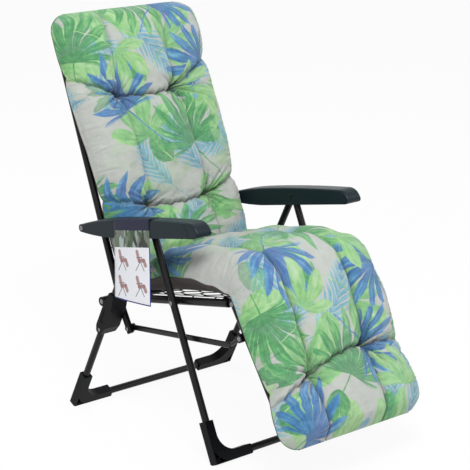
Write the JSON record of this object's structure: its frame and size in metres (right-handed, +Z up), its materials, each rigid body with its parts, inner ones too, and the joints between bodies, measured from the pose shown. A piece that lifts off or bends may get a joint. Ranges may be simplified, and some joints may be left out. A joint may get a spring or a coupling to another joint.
{
  "type": "reclining garden armchair",
  "caption": "Folding reclining garden armchair with steel-tube frame, moulded armrests, linked footrest and a tufted one-piece cushion.",
  "frame": {"origin": "centre of the bounding box on the floor plane", "axes": "+Z up, the sitter looks along -Y, +X is the sitter's left hand"},
  "size_m": [0.5958, 1.0596, 1.1148],
  "materials": {
    "black_steel": "satin powder coat",
    "coated_wire": "satin powder coat",
    "rivet_steel": "dark satin",
    "dark_plastic": "fine grain",
    "cushion_fabric": "woven, printed",
    "card": "smooth card"
  },
  "bodies": {
    "seat": {"seat_frame": "black_steel", "seat_net": "coated_wire", "seat_net_hooks": "coated_wire", "seat_pad": "cushion_fabric", "seat_end_plugs": "dark_plastic", "front_leg_rivets": "rivet_steel", "front_leg_spacers": "dark_plastic"},
    "back": {"back_frame": "black_steel", "back_net": "coated_wire", "back_net_hooks": "coated_wire", "back_pad": "cushion_fabric", "back_end_plugs": "dark_plastic", "recline_bolts": "rivet_steel", "armrest_rear_rivets": "rivet_steel", "link_rear_rivets": "rivet_steel"},
    "footrest": {"footrest_frame": "black_steel", "footrest_net": "coated_wire", "footrest_net_hooks": "coated_wire", "footrest_pad": "cushion_fabric", "footrest_end_plugs": "dark_plastic", "footrest_rivets": "rivet_steel", "link_front_rivets": "rivet_steel"},
    "front_legs": {"front_leg_frame": "black_steel", "front_foot_left": "dark_plastic", "front_foot_right": "dark_plastic", "armrest_front_pins": "rivet_steel", "front_leg_plugs": "dark_plastic"},
    "rear_legs": {"rear_leg_frame": "black_steel", "rear_foot_left": "dark_plastic", "rear_foot_right": "dark_plastic", "bracket_inner_left": "dark_plastic", "bracket_inner_right": "dark_plastic", "bracket_outer_left": "dark_plastic", "bracket_outer_right": "dark_plastic", "bracket_rivets": "rivet_steel", "lock_plugs": "dark_plastic"},
    "armrest_left": {"armrest_left": "dark_plastic", "notch_rack_left": "dark_plastic"},
    "armrest_right": {"armrest_right": "dark_plastic", "notch_rack_right": "dark_plastic", "hang_card": "card"},
    "link_left": {"link_left": "black_steel"},
    "link_right": {"link_right": "black_steel"}
  },
  "joints": [
    {"name": "recline", "type": "hinge", "parent": "seat", "child": "back", "pos_m": [0, 0.23813, 0.352], "axis": [-1, 0, 0], "range_deg": [0, 20]},
    {"name": "front_leg_swing", "type": "hinge", "parent": "seat", "child": "front_legs", "pos_m": [0, -0.03419, 0.4079], "axis": [-1, 0, 0], "range_deg": [0, 20]},
    {"name": "footrest_swing", "type": "hinge", "parent": "seat", "child": "footrest", "pos_m": [0, -0.25166, 0.45254], "axis": [-1, 0, 0], "range_deg": [0, 20]},
    {"name": "rear_leg_swing", "type": "hinge", "parent": "seat", "child": "rear_legs", "pos_m": [0, 0.23813, 0.352], "axis": [-1, 0, 0], "range_deg": [-7.68, 0]},
    {"name": "armrest_left_swing", "type": "hinge", "parent": "back", "child": "armrest_left", "pos_m": [0, 0.32503, 0.54537], "axis": [-1, 0, 0], "range_deg": [-20, 0]},
    {"name": "armrest_right_swing", "type": "hinge", "parent": "back", "child": "armrest_right", "pos_m": [0, 0.32503, 0.54537], "axis": [-1, 0, 0], "range_deg": [-20, 0]},
    {"name": "link_left_swing", "type": "hinge", "parent": "back", "child": "link_left", "pos_m": [0, 0.19763, 0.27079], "axis": [-1, 0, 0], "range_deg": [-20, 0]},
    {"name": "link_right_swing", "type": "hinge", "parent": "back", "child": "link_right", "pos_m": [0, 0.19763, 0.27079], "axis": [-1, 0, 0], "range_deg": [-20, 0]}
  ],
  "couplings": [
    {"joint": "front_leg_swing", "follows": "recline", "ratio": 1},
    {"joint": "footrest_swing", "follows": "recline", "ratio": 1},
    {"joint": "rear_leg_swing", "follows": "recline", "ratio": -0.384},
    {"joint": "armrest_left_swing", "follows": "recline", "ratio": -1},
    {"joint": "armrest_right_swing", "follows": "recline", "ratio": -1},
    {"joint": "link_left_swing", "follows": "recline", "ratio": -1},
    {"joint": "link_right_swing", "follows": "recline", "ratio": -1}
  ]
}
